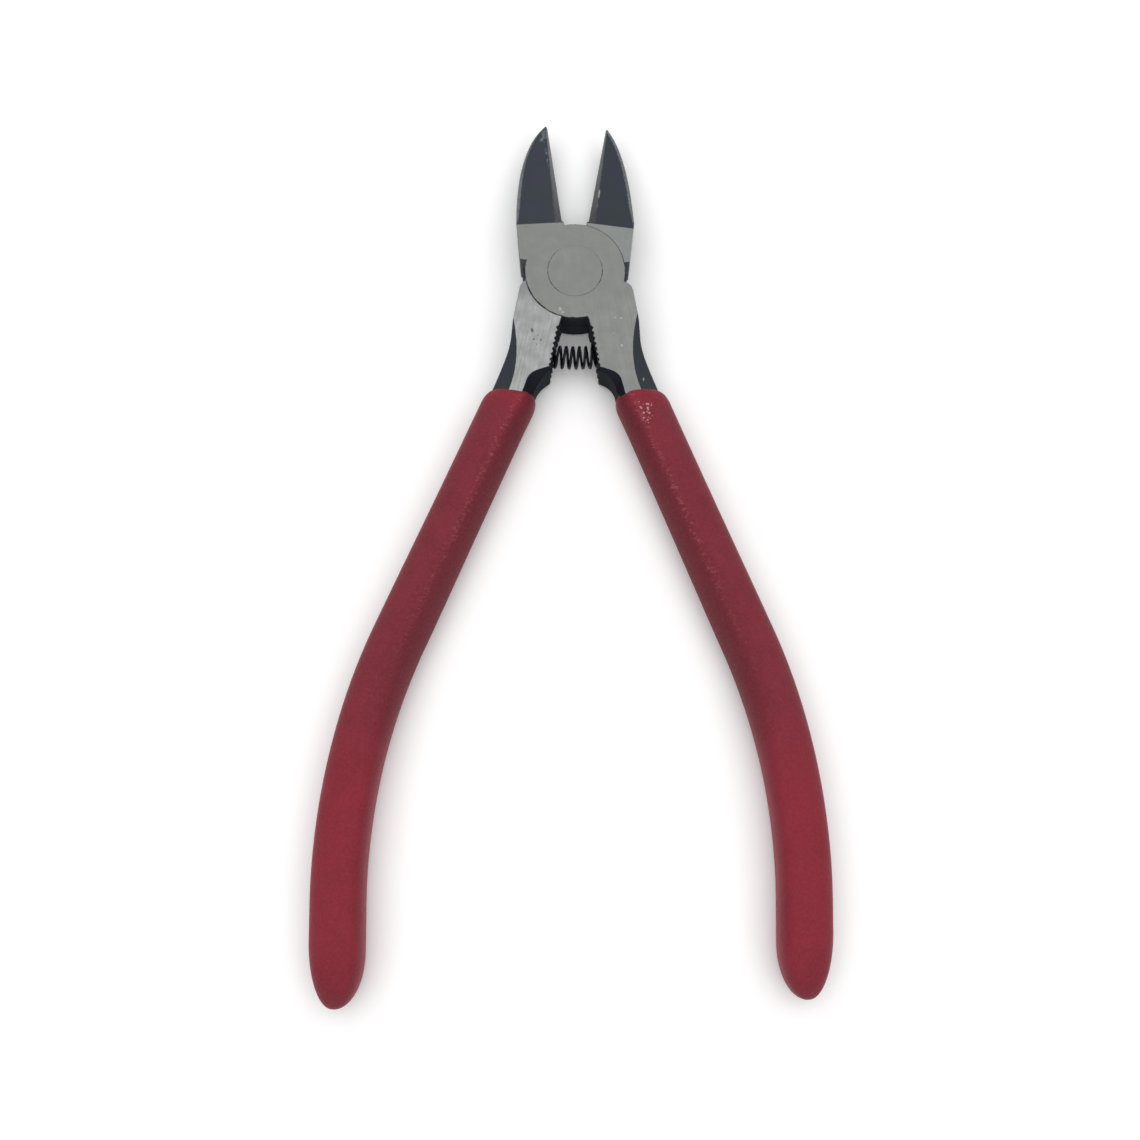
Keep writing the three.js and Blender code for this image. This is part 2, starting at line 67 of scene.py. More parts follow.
# Jaws
JAW_ROOT = (-8.7, 11.0)
TIP_WIDTH = 0.3
TIP_THICKNESS = 1.6
EDGE_SETBACK = 0.35
EDGE_BEVEL = radians(18.5)
EDGE_BEVEL_START = 0.3
CHAMFER_WIDTH = 0.55
CHAMFER_DROP = 0.45
CHAMFER_FADE = (9.5, 14.0)
CHAMFER_LEAST_SHARE = 0.05
RIM_FADE = (19.0, 28.0)

# Rivet
RIVET_RADIUS = 4.82
RIVET_SHANK_RADIUS = 3.6
RIVET_HEAD_DEPTH = 1.6
RIVET_GAP = 0.06
RIVET_PRESS = 0.04
RIVET_SLACK = 0.02
RIVET_EDGE = 0.03
RIVET_EDGE_SHARE = 0.3
RIVET_FACE_RADII = (0.001, 1.2, 2.4, 3.6, 4.4)
RIVET_HEIGHTS = (0.12, 0.6, RIVET_HEAD_DEPTH, MID)
RIVET_SEAM_MIDDLE = radians(-15)
RIVET_SEAM_OPENINGS = 2

# Necks
NECK_CORNER = 1.5
NECK_SIDE_END = 11.2
CORNER_TIGHTNESS = 0.6
NECK_INNER_AT_GRIP = 3.8
NECK_OUTER_AT_GRIP = 3.5
NECK_END = -23.3
NECK_HIDDEN_END = -28.0
NECK_HIDDEN_INNER = 2.4
NECK_SINK_START = -24.2
NECK_SINK = 0.6
FLAT_END = -23.8
FLAT_OUTER_START = (9.6, -9.5)
FLAT_OUTER_WAIST = (6.0, -17.3)
FLAT_INNER_BEND = (4.3, -20.2)
FLAT_INNER_START = (0.3, -18.02)
FLANK_SLOPE = radians(40)
INNER_FLANK_HEADING = radians(-139)
THROAT_WALL = 0.85
THROAT_DEPTH = 19.0
TOOTH_START = 10.6
TOOTH_COUNT = 8
TOOTH_PITCH = 1.0
TOOTH_DEPTH = 0.4

# Handles and grips
HANDLE_BEND_START = 70.4
HANDLE_BEND_RADIUS = 106.5
HANDLE_END_ANGLE = radians(-11.7)
GRIP_START = 23.6
GRIP_HALF_WIDTH = 4.55
GRIP_HALF_THICKNESS = 5.0
GRIP_SWELL = 0.2
GRIP_SWELL_SPREAD = 20
GRIP_OUTER_SQUARENESS = 2.8
# Heights down the grip and how square its inner side is there
GRIP_INNER_SQUARENESS = ((-25, 2.2), (-31, 1.5), (-72, 1.5), (-100, 2.8))
# Where the crest lies, towards the other handle
GRIP_CREST = -1.3
GRIP_LIP_LENGTH = 3.0
GRIP_LIP_DEPTH = 1.1
GRIP_LIP_WAVE = 0.18
GRIP_LIP_SLANT = 0.65
GRIP_TAPER = 10
GRIP_END_SHARE = 0.002
GRIP_LEAN = 0.9

# Return spring
SPRING_DISTANCE = 15.3
SPRING_WIRE = 0.5
SPRING_COIL_RADIUS = 1.87
SPRING_PITCH = 1.2
SPRING_END_GAP = 0.3
SOCKET_DEPTH = 4.0
SOCKET_CLEARANCE = 0.45
SOCKET_RADIUS = SPRING_COIL_RADIUS + SPRING_WIRE / 2 + SOCKET_CLEARANCE

# Fineness of the meshes
GRID = 0.157
CURVE_STEPS = 40
CORNER_STEPS = 12
RIVET_SIDES = 128
SECTION_POINTS = 72
GRIP_STEP = 0.8
LIP_RINGS = 14
TAPER_RINGS = 26
SPRING_STEPS_PER_TURN = 28
SPRING_SIDES = 14

# How open a seam is: its mean, its swing and its least; and the mean of the dirt it holds
SEAM_MEAN = 0.4
SEAM_SWING = 0.5
SEAM_LEAST = 0.03
DIRT_MEAN = 0.85

# Waves around a circle, each with its size, its count in one turn and its phase
SEAM_RIPPLES = ((0.2, 5, 1), (0.15, 11, 0))
SEAM_DASHES = ((0.25, 17, 0), (0.2, 31, 1))
GRIP_LIP_RIPPLES = ((1, 2, 1), (0.5, 5, 0))

# What differs between the two halves; up is the way along its Z axis that faces the viewer
FRONT = dict(
    body="front", up=1, reach=30.5, bulge=(-6.2, 26.2), lean=0.4, rim_at_tip=0.4,
    facet_start=9.35, facet_skew=radians(7.3), jaw_shoulder=radians(23.3), neck_shoulder=radians(-23.5),
    disc=8.9, other_disc=9.4, seam_middle=radians(-146),
    neck_half=9.5, waist=(8.95, -16.2), inner_bend=(3.4, -20.5), flat_half=1.425, flat_offset=-1.04,
    handle_offset=1.88, handle_angle=radians(12.4), grip_end=130.2, grip_shift=-0.05,
)
REAR = dict(
    body="rear", up=-1, reach=30.05, bulge=(-5.0, 25.3), lean=-0.03, rim_at_tip=1.0,
    facet_start=9.3, facet_skew=radians(3.4), jaw_shoulder=radians(20.8), neck_shoulder=radians(-22),
    disc=9.4, other_disc=8.9, seam_middle=radians(-56),
    neck_half=9.05, waist=(8.6, -16.0), inner_bend=(2.6, -21.0), flat_half=1.15, flat_offset=-0.7,
    handle_offset=1.35, handle_angle=radians(12.8), grip_end=132.1, grip_shift=-0.18,
)
to_metres = Matrix.Scale(MM, 4)
turn_over = Matrix.Translation((0, 0, HEAD_THICKNESS)) @ Matrix.Rotation(pi, 4, "Y")
FRONT["place"] = to_metres @ Matrix.Rotation(HALF_OPENING, 4, "Z")
REAR["place"] = to_metres @ Matrix.Rotation(-HALF_OPENING, 4, "Z") @ turn_over


# Curves and outlines

def hook(start, bend, end, steps=CURVE_STEPS):
    """Points along a curve that leaves start towards bend and comes into end from bend."""
    t = np.linspace(0, 1, steps + 1)[:, None]
    return (1 - t) ** 2 * np.array(start) + 2 * t * (1 - t) * np.array(bend) + t ** 2 * np.array(end)


def turn_corner(start, corner, end):
    """Points along a path that runs straight towards a corner, round it, and straight on to its end."""
    start, corner, end = map(np.array, (start, corner, end))
    into, out = [at + CORNER_TIGHTNESS * (corner - at) for at in (start, end)]
    return np.vstack([start, hook(into, corner, out), end])


def path_gap(path, x, y):
    """Distance to a path in the plane."""
    nearest = np.inf
    for (ax, ay), (bx, by) in zip(path[:-1], path[1:]):
        ex, ey = bx - ax, by - ay
        t = np.clip(((x - ax) * ex + (y - ay) * ey) / (ex * ex + ey * ey), 0, 1)
        nearest = np.minimum(nearest, (x - ax - t * ex) ** 2 + (y - ay - t * ey) ** 2)
    return np.sqrt(nearest)


def outline_depth(outline, x, y):
    """Distance to a closed outline in the plane, negative inside."""
    closed = [*outline, outline[0]]
    inside = np.zeros(np.broadcast(x, y).shape, bool)
    for (ax, ay), (bx, by) in zip(closed[:-1], closed[1:]):
        if ay != by:
            inside ^= ((ay > y) != (by > y)) & (x < ax + (y - ay) / (by - ay) * (bx - ax))
    return np.where(inside, -1, 1) * path_gap(closed, x, y)


def fade(value, span):
    """0 before a span, 1 after it, and a straight rise between."""
    return np.clip((value - span[0]) / (span[1] - span[0]), 0, 1)


def ripples(turn, waves):
    """Sum of sine waves around a circle."""
    return sum(size * np.sin(count * turn + phase) for size, count, phase in waves)


def handle_centre(half, y):
    """Middle of the handle at height y and its lean there: straight, one arc inwards, straight."""
    start = half["handle_angle"]
    bend_x = half["handle_offset"] + HANDLE_BEND_START * tan(start)
    if y >= -HANDLE_BEND_START:
        return half["handle_offset"] - y * tan(start), start
    sine = sin(start) + (y + HANDLE_BEND_START) / HANDLE_BEND_RADIUS
    if sine >= sin(HANDLE_END_ANGLE):
        angle = asin(sine)
        return bend_x + HANDLE_BEND_RADIUS * (cos(angle) - cos(start)), angle
    end_x = bend_x + HANDLE_BEND_RADIUS * (cos(HANDLE_END_ANGLE) - cos(start))
    end_y = -HANDLE_BEND_START + HANDLE_BEND_RADIUS * (sin(HANDLE_END_ANGLE) - sin(start))
    return end_x + (end_y - y) * tan(HANDLE_END_ANGLE), HANDLE_END_ANGLE


# Forms of a half: each surface is a signed distance in millimetres, negative inside the steel

def jaw_faces(half, x, y, z):
    """Jaw outline, sloped facets, cutting bevels, outer chamfers, and how far down the facet a point lies."""
    tip = np.array((half["lean"], half["reach"]))
    root = np.array((-EDGE_SETBACK, half["facet_start"]))
    outer = hook((tip[0] - TIP_WIDTH, tip[1]), half["bulge"], JAW_ROOT)
    shoulder = (-HEAD_HALF_WIDTH, HEAD_HALF_WIDTH * tan(half["jaw_shoulder"]))
    outline = outline_depth([(0, 0), root, tip, *outer, shoulder], x, y)

    height = np.abs(z - MID)
    skew = half["facet_skew"]
    downhill = x * sin(skew) + (y - root[1]) * cos(skew)
    slope = atan2(MID - TIP_THICKNESS / 2, (tip[1] - root[1]) * cos(skew))
    facet = downhill * sin(slope) + (height - MID) * cos(slope)

    edge = (tip - root) / hypot(*(tip - root))
    past_edge = (x - root[0]) * edge[1] - (y - root[1]) * edge[0]
    bevel = past_edge * cos(EDGE_BEVEL) + height * sin(EDGE_BEVEL)
    bevel = np.minimum(bevel, downhill - EDGE_BEVEL_START)

    share = np.maximum(fade(y, CHAMFER_FADE), CHAMFER_LEAST_SHARE)
    share = share * (1 - (1 - half["rim_at_tip"]) * fade(y, RIM_FADE))
    chamfer = CHAMFER_DROP * (CHAMFER_WIDTH * share - path_gap(outer, x, y)) + CHAMFER_WIDTH * facet
    chamfer = chamfer / hypot(CHAMFER_DROP, CHAMFER_WIDTH)
    return dict(outline=outline, facet=facet, bevel=bevel, chamfer=chamfer, downhill=downhill)


def neck_faces(half, x, y, z):
    """Neck outline with the throat's saw teeth, and the two flanks that fall away from the flat."""
    side, shoulder = half["neck_half"], half["neck_shoulder"]
    corner = side / cos(shoulder)
    inset = corner - NECK_CORNER
    teeth = []
    for tooth in range(TOOTH_COUNT):
        top = TOOTH_START + tooth * TOOTH_PITCH
        teeth += [(THROAT_WALL + TOOTH_DEPTH, -top - TOOTH_PITCH / 2), (THROAT_WALL, -top - TOOTH_PITCH)]
    end_x = handle_centre(half, NECK_END)[0]
    hidden_x = handle_centre(half, NECK_HIDDEN_END)[0]
    outline = outline_depth([
        (0, 0), (THROAT_WALL, -TOOTH_START), *teeth,
        *hook((THROAT_WALL, -THROAT_DEPTH), half["inner_bend"], (end_x - NECK_INNER_AT_GRIP, NECK_END)),
        (hidden_x - NECK_HIDDEN_INNER, NECK_HIDDEN_END),
        (hidden_x + NECK_OUTER_AT_GRIP, NECK_HIDDEN_END),
        *turn_corner((end_x + NECK_OUTER_AT_GRIP, NECK_END), half["waist"], (side, -NECK_SIDE_END)),
        *hook((side, corner * sin(shoulder) - NECK_CORNER), (side, corner * sin(shoulder)),
              (inset * cos(shoulder), inset * sin(shoulder)), CORNER_STEPS),
    ], x, y)

    # The flat's two borders run on under the grip, along the handle
    flat_x = end_x + half["flat_offset"]
    run_on = hidden_x - handle_centre(half, FLAT_END)[0]
    edge_x = flat_x + half["flat_half"]
    border = hook(FLAT_OUTER_START, FLAT_OUTER_WAIST, (edge_x, FLAT_END))
    border = np.vstack([border, (edge_x + run_on, NECK_HIDDEN_END)])
    past_outer = x - np.interp(-y, -border[:, 1], border[:, 0])
    away = np.array((cos(INNER_FLANK_HEADING), sin(INNER_FLANK_HEADING)))
    along = np.array((-away[1], away[0]))
    edge_x = flat_x - half["flat_half"]
    border = turn_corner(FLAT_INNER_START, FLAT_INNER_BEND, (edge_x, FLAT_END))
    border = np.vstack([border, (edge_x + run_on, NECK_HIDDEN_END)])
    border_at = np.interp(x * along[0] + y * along[1], border @ along, border @ away)
    past_inner = x * away[0] + y * away[1] - border_at

    rise = np.abs(z - MID) - MID
    outer, inner = [past * sin(FLANK_SLOPE) + rise * cos(FLANK_SLOPE) for past in (past_outer, past_inner)]
    sink = rise + NECK_SINK * np.maximum(NECK_SINK_START - y, 0)
    return dict(
        outline=outline, outer=outer, inner=inner, sink=sink, past_outer=past_outer, past_inner=past_inner,
    )


def bore_radius(z, clearance):
    """Radius of the rivet, or of its bore, at height z: a countersunk head on each face."""
    flare = (RIVET_RADIUS - RIVET_SHANK_RADIUS) / RIVET_HEAD_DEPTH
    depth = np.minimum(z, HEAD_THICKNESS - z)
    return RIVET_SHANK_RADIUS + clearance + flare * np.maximum(RIVET_HEAD_DEPTH - depth, 0)


def seam_opening(turn, middle, openings):
    """How open a seam is around a circle, from nearly 0, pressed shut, to 1; it gapes most at middle."""
    away = turn - middle
    wave = SEAM_MEAN + SEAM_SWING * np.cos(openings * away) + ripples(away, SEAM_RIPPLES)
    return np.clip(wave, SEAM_LEAST, 1)


def seam_dirt(turn, middle, openings):
    """How much dirt a seam holds around a circle: most where it gapes, and broken into dashes."""
    dashes = DIRT_MEAN + ripples(turn, SEAM_DASHES)
    return np.clip(np.sqrt(seam_opening(turn, middle, openings)) * dashes, 0, 1)


def half_field(half, x, y, z):
    """A whole half: jaw, neck and its own disc, less the other disc, the rivet bore and the spring socket."""
    slab = np.abs(z - MID) - MID
    jaw, neck = jaw_faces(half, x, y, z), neck_faces(half, x, y, z)
    jaw_steel = reduce(np.maximum, (slab, jaw["outline"], jaw["facet"], jaw["bevel"], jaw["chamfer"]))
    neck_steel = reduce(np.maximum, (slab, neck["outline"], neck["outer"], neck["inner"], neck["sink"]))

    radius, turn = np.hypot(x, y), np.arctan2(y, x)
    opening = seam_opening(turn, half["seam_middle"], DISC_SEAM_OPENINGS)
    seam = SEAM_GAP * opening - SEAM_PRESS * (1 - opening)
    other_disc = np.maximum(radius - half["other_disc"] - seam, z - LAP_FACE)
    steel = np.maximum(np.minimum(jaw_steel, neck_steel), -other_disc)

    angle = np.degrees(turn)
    in_throat = (angle > THROAT_SECTOR_DEG[0]) & (angle < THROAT_SECTOR_DEG[1])
    disc_radius = np.where(in_throat, min(half["disc"], THROAT_RADIUS), half["disc"])
    disc = reduce(np.maximum, (radius - disc_radius, LAP_FACE - z, slab))

    from_axis = np.hypot(y + SPRING_DISTANCE, z - MID)
    socket = np.maximum(from_axis - SOCKET_RADIUS, x - THROAT_WALL - SOCKET_DEPTH)
    opening = seam_opening(turn, RIVET_SEAM_MIDDLE, RIVET_SEAM_OPENINGS)
    bore = radius - bore_radius(z, RIVET_GAP * opening - RIVET_PRESS * (1 - opening))
    return reduce(np.maximum, (np.minimum(steel, disc), -socket, -bore))


# Making meshes and pieces

def skin(field, low, high, step):
    """Points and four-sided faces of the closed surface where a distance field changes sign."""
    axes = [np.arange(a, b + step, step) for a, b in zip(low, high)]
    value = field(*np.meshgrid(*axes, indexing="ij", sparse=True)).astype(np.float32)
    inside = value < 0

    # One point in each cell that the surface crosses, at the mean of its crossings of the cell's edges
    corners = [(i, j, k) for i in (0, 1) for j in (0, 1) for k in (0, 1)]
    cells = [n - 1 for n in value.shape]
    filled = np.zeros(cells, np.int8)
    for i, j, k in corners:
        filled += inside[i:i + cells[0], j:j + cells[1], k:k + cells[2]]
    at = np.argwhere((filled > 0) & (filled < len(corners)))
    place = np.full(cells, -1)
    place[tuple(at.T)] = np.arange(len(at))
    level = {corner: value[tuple((at + corner).T)] for corner in corners}
    total, count = np.zeros((len(at), 3)), np.zeros(len(at))
    for a in corners:
        for axis in range(3):
            if a[axis] == 0:
                b = tuple(1 if i == axis else v for i, v in enumerate(a))
                hit = (level[a] < 0) != (level[b] < 0)
                share = level[a][hit] / (level[a][hit] - level[b][hit])
                total[hit] += a
                total[hit, axis] += share
                count[hit] += 1
    points = np.array(low) + (at + total / count[:, None]) * step

    # One face around each grid edge that the surface crosses, through the points of the four cells there
    faces = []
    for axis in range(3):
        u, v = np.eye(3, dtype=int)[[(axis + 1) % 3, (axis + 2) % 3]]
        lower = np.take(inside, range(inside.shape[axis] - 1), axis)
        upper = np.take(inside, range(1, inside.shape[axis]), axis)
        for solid_below in (True, False):
            edge = np.argwhere((lower != upper) & (lower == solid_below))
            ring = [place[tuple((edge - shift).T)] for shift in (0, u, u + v, v)]
            faces.append(np.stack(ring if solid_below else ring[::-1], -1))
    return points, np.vstack(faces)


def loft_faces(rings, sides):
    """Faces of a closed skin through rings of points, with a cap on the first and the last ring."""
    here = np.arange(sides)
    after = (here + 1) % sides
    faces = []
    for start in range(0, (rings - 1) * sides, sides):
        quads = np.stack([start + here, start + after, start + sides + after, start + sides + here], -1)
        faces += quads.tolist()
    return faces + [here[::-1].tolist(), ((rings - 1) * sides + here).tolist()]


def piece(name, points, faces, place, body, material):
    """A smooth mesh, placed from millimetres in its own frame, that stands for the node of its name."""
    mesh = bpy.data.meshes.new(name)
    mesh.from_pydata(np.asarray(points).tolist(), [], [list(map(int, face)) for face in faces])
    mesh.transform(place)
    mesh.shade_smooth()
    made = bpy.data.objects.new(name, mesh)
    bpy.context.scene.collection.objects.link(made)
    mesh.materials.append(material)
    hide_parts(name)
    if body:
        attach(made, body)
    return made


def remember(made, **values):
    """Keeps measures in millimetres on the points of a piece, for its finish to read."""
    for name, value in values.items():
        value = np.asarray(value, np.float32)
        kind, key = ("FLOAT_VECTOR", "vector") if value.ndim == 2 else ("FLOAT", "value")
        made.data.attributes.new(name, kind, "POINT").data.foreach_set(key, value.ravel())


# Finishes

def paint(code):
    """An sRGB hex colour as linear RGBA."""
    parts = [int(code[i:i + 2], 16) / 255 for i in (1, 3, 5)]
    return (*[c / 12.92 if c <= 0.04045 else ((c + 0.055) / 1.055) ** 2.4 for c in parts], 1)


def add(tree, kind, inputs=None, stops=None, **settings):
    """Adds a node with its settings and colour stops, and sets or links its inputs by their identifiers."""
    made = tree.nodes.new("ShaderNode" + kind)
    for name, value in settings.items():
        setattr(made, name, value)
    if stops:
        ramp = made.color_ramp.elements
        while len(ramp) < len(stops):
            ramp.new(0.5)
        for element, (position, colour) in zip(ramp, stops):
            element.position = position
            element.color = paint(colour)
    for name, value in (inputs or {}).items():
        socket = next(s for s in made.inputs if s.identifier == name)
        if isinstance(value, bpy.types.Node):
            value = next(s for s in value.outputs if s.enabled)
        if isinstance(value, bpy.types.NodeSocket):
            tree.links.new(value, socket)
        else:
            socket.default_value = value
    return made


def finish(name):
    """A new material with an empty tree."""
    made = bpy.data.materials.new(name)
    made.use_nodes = True
    made.node_tree.nodes.clear()
    return made, made.node_tree


# Sizes of the steel's patterns: real wheel marks are about 0.03 mm apart, and are drawn coarser to show
WHEEL_SPACING = 0.3
WHEEL_LENGTH = 9.0
HALF_STAIN = 2.2
RIVET_STAIN = 2.0
OXIDE_CLOUD = 4.5
OXIDE_GRAIN = 0.35
OIL_FILM = 0.8
RELIEF = 0.01

# Heights between which the flat turns from the head's colours to the neck's
NECK_TONE_SPAN = (-4.0, -9.0)

# Colours of the bare steel and of the oxide, as stops from dark to light
FRONT.update(
    face_steel=[(0.3, "#868885"), (0.5, "#8c8e8b"), (0.7, "#939592")],
    neck_steel=[(0.37, "#898b89"), (0.5, "#909290"), (0.63, "#979997")],
    bevel_steel=[(0.3, "#5e646b"), (0.5, "#6b7078"), (0.7, "#7f858a")],
    rim_steel=[(0.3, "#70757a"), (0.5, "#7e8385"), (0.7, "#8c9091")],
)
REAR.update(
    face_steel=[(0.3, "#878988"), (0.5, "#909291"), (0.7, "#9c9e9d")],
    neck_steel=[(0.37, "#979998"), (0.5, "#a5a7a6"), (0.62, "#b6b8b7")],
    bevel_steel=[(0.3, "#515556"), (0.5, "#5b5f60"), (0.7, "#6c706e")],
    rim_steel=[(0.3, "#6e7273"), (0.5, "#7d8182"), (0.7, "#8e9192")],
)
BLUE_OXIDE = [(0.0, "#0b0c0f"), (0.3, "#1c1f24"), (0.65, "#33373f"), (1.0, "#484b57")]
GREEN_OXIDE = [(0.0, "#0b0c0e"), (0.3, "#1c2023"), (0.65, "#32383b"), (1.0, "#464d50")]

# Ground areas, each laid over the one before, with how ragged and how wide its border is
GROUND = (("rim", 0.06, 0.12), ("bevel", 0.12, 0.16), ("face", 0.03, 0.05))
# Worn oxide, dirt in the seams, pits that hold it and nicks to bright metal, with how ragged each is,
# how strong and what colour
MARKS = (
    ("wear", 0.5, 0.75, "#83888b"), ("seam", 0.3, 0.9, "#2f3234"),
    ("pit", 0.15, 0.85, "#4d5052"), ("nick", 0.3, 0.75, "#bcbfbf"),
)
MARK_BORDER = 0.4


def ground_marks(tree, own, stain_size):
    """Streaks along the wheel's travel, handling stains, the two together, and a satin roughness."""
    scale = (1 / WHEEL_SPACING, 1 / WHEEL_LENGTH, 1 / WHEEL_SPACING)
    along_wheel = add(tree, "Mapping", {"Vector": own, "Scale": scale})
    wheel = add(tree, "TexNoise", {"Vector": along_wheel, "Scale": 1.0, "Detail": 3.0, "Roughness": 0.6})
    stain = add(tree, "TexNoise", {"Vector": own, "Scale": 1 / stain_size, "Detail": 5.0, "Roughness": 0.6})
    shade = add(tree, "Mix", {"Factor_Float": 0.5, "A_Float": wheel, "B_Float": stain}, data_type="FLOAT")
    satin = add(tree, "MapRange", {
        "Value": wheel, "From Min": 0.3, "From Max": 0.7, "To Min": 0.4, "To Max": 0.5,
    })
    return wheel, stain, shade, satin


def tool_steel(half):
    """Drop-forged tool steel in black oxide, with the faces, bevels and rims ground back to bare satin steel.

    Bare steel is a soft grey mirror with faint streaks along the wheel's travel. The oxide is a thin
    skin that clouds from blue to green, darkest in the throat, and a little torn along the ground borders.
    """
    made, tree = finish(f"Ground and black-oxide tool steel, {half['body']} half")
    own = add(tree, "Attribute", attribute_name="own").outputs["Vector"]
    measures = ("face_gap", "bevel_gap", "rim_gap", "oxide_tone", "throat", "seam", "nick", "pit", "wear")
    known = {name: add(tree, "Attribute", attribute_name=name).outputs["Fac"] for name in measures}
    wheel, stain, shade, satin = ground_marks(tree, own, HALF_STAIN)

    # Oxide, with clouds of two hues
    bloom = add(tree, "TexNoise", {"Vector": own, "Scale": 1 / OXIDE_CLOUD, "Detail": 2.0})
    cloud = add(tree, "MapRange", {"Value": bloom, "From Min": 0.35, "From Max": 0.7})
    tone = add(tree, "Math", {"Value": stain, "Value_001": 0.1, "Value_002": known["oxide_tone"]},
               operation="MULTIPLY_ADD")
    blue, green = (add(tree, "ValToRGB", {"Fac": tone}, stops=stops) for stops in (BLUE_OXIDE, GREEN_OXIDE))
    colour = add(tree, "Mix", {"Factor_Float": cloud, "A_Color": blue, "B_Color": green}, data_type="RGBA")

    # Ground areas with torn borders; the flat is a little paler on the neck than on the head
    torn = add(tree, "TexNoise", {"Vector": own, "Scale": 1 / OXIDE_GRAIN, "Detail": 3.0, "Roughness": 0.6})
    tear = add(tree, "MapRange", {
        "Value": torn, "From Min": 0.25, "From Max": 0.75, "To Min": -1.0, "To Max": 1.0,
    })
    bare = {area: add(tree, "ValToRGB", {"Fac": shade}, stops=half[area + "_steel"])
            for area in ("rim", "bevel", "face", "neck")}
    down = add(tree, "SeparateXYZ", {"Vector": own}).outputs["Y"]
    on_neck = add(tree, "MapRange", {
        "Value": down, "From Min": NECK_TONE_SPAN[0], "From Max": NECK_TONE_SPAN[1],
    }, interpolation_type="SMOOTHSTEP")
    bare["face"] = add(tree, "Mix", {
        "Factor_Float": on_neck, "A_Color": bare["face"], "B_Color": bare["neck"],
    }, data_type="RGBA")
    bared = {}
    for area, ragged, wide in GROUND:
        border = add(tree, "Math", {"Value": tear, "Value_001": ragged, "Value_002": known[area + "_gap"]},
                     operation="MULTIPLY_ADD")
        bared[area] = add(tree, "MapRange", {"Value": border, "From Min": wide, "From Max": -wide / 2},
                          interpolation_type="SMOOTHSTEP")
        colour = add(tree, "Mix", {"Factor_Float": bared[area], "A_Color": colour, "B_Color": bare[area]},
                     data_type="RGBA")

    for name, ragged, most, over in MARKS:
        border = add(tree, "Math", {"Value": tear, "Value_001": ragged, "Value_002": known[name]},
                     operation="MULTIPLY_ADD")
        mark = add(tree, "MapRange", {
            "Value": border, "From Min": ragged, "From Max": ragged + MARK_BORDER, "To Max": most,
        })
        colour = add(tree, "Mix", {"Factor_Float": mark, "A_Color": colour, "B_Color": paint(over)},
                     data_type="RGBA")

    # Satin on the ground face, duller on the oxide and dullest in the throat
    metal = add(tree, "Math", {"Value": 1.0, "Value_001": known["throat"]}, operation="SUBTRACT")
    rough = add(tree, "Mix", {"Factor_Float": bared["face"], "A_Float": 0.52, "B_Float": satin},
                data_type="FLOAT")
    rough = add(tree, "Math", {"Value": known["throat"], "Value_001": 0.3, "Value_002": rough},
                operation="MULTIPLY_ADD")
    relief = add(tree, "Mix", {"Factor_Float": bared["face"], "A_Float": torn, "B_Float": wheel},
                 data_type="FLOAT")
    bump = add(tree, "Bump", {"Height": relief, "Strength": 0.25, "Distance": RELIEF * MM})
    surface = add(tree, "BsdfPrincipled", {
        "Base Color": colour, "Metallic": metal, "Roughness": rough, "Normal": bump,
        "Specular IOR Level": 0.12,
    })
    add(tree, "OutputMaterial", {"Surface": surface})
    return made


def rivet_steel():
    """Mild-steel rivet, set flush and ground with the head, so that it shows the face's satin streaks."""
    made, tree = finish("Ground mild steel, rivet")
    own = add(tree, "Attribute", attribute_name="own").outputs["Vector"]
    wheel, _, shade, satin = ground_marks(tree, own, RIVET_STAIN)
    bare = add(tree, "ValToRGB", {"Fac": shade}, stops=FRONT["face_steel"])
    bump = add(tree, "Bump", {"Height": wheel, "Strength": 0.25, "Distance": RELIEF * MM})
    surface = add(tree, "BsdfPrincipled", {
        "Base Color": bare, "Metallic": 1.0, "Roughness": satin, "Normal": bump,
    })
    add(tree, "OutputMaterial", {"Surface": surface})
    return made


def spring_steel():
    """Oil-blackened music wire: nearly black, with a soft line of light along each turn."""
    made, tree = finish("Oil-blackened music wire")
    own = add(tree, "TexCoord").outputs["Object"]
    # Drawing marks and oil film
    film = add(tree, "TexNoise", {"Vector": own, "Scale": 1 / (OIL_FILM * MM), "Detail": 3.0})
    colour = add(tree, "ValToRGB", {"Fac": film}, stops=[(0.35, "#17191c"), (0.65, "#26292d")])
    rough = add(tree, "MapRange", {"Value": film, "To Min": 0.3, "To Max": 0.5})
    surface = add(tree, "BsdfPrincipled", {"Base Color": colour, "Metallic": 0.8, "Roughness": rough})
    add(tree, "OutputMaterial", {"Surface": surface})
    return made


# Sizes of the vinyl's patterns, and where its tones change: heights on the grip, or offsets across it
PIGMENT_CLOUD = 6.0
PEBBLE = 0.45
PEBBLE_HEIGHT = 0.06
FLECK_LENGTH = 0.8
FLECK_WIDTH = 0.3
SCUFF_SPACING = 0.6
HELD_SPAN = (-75.0, -100.0)
FRESH_LIP_SPAN = (-29.0, -25.0)
# Where the painted shade on the slope that faces the other handle lies: heights, and offsets across the grip
SLOPE_SHADE_SPAN = (-40.0, -62.0)
SLOPE_SHADE_EDGE = (-1.8, 1.2)
SLOPE_SHADE_FULL = -2.8
POINT_DIRT_SPAN = (-121.0, -131.0)
# Heights between which the painted highlights along the ridge show
RIDGE_GLINT_SPAN = (-80.0, -48.0)
RIDGE = -1.6
RIDGE_REACH = (1.3, 0.3)


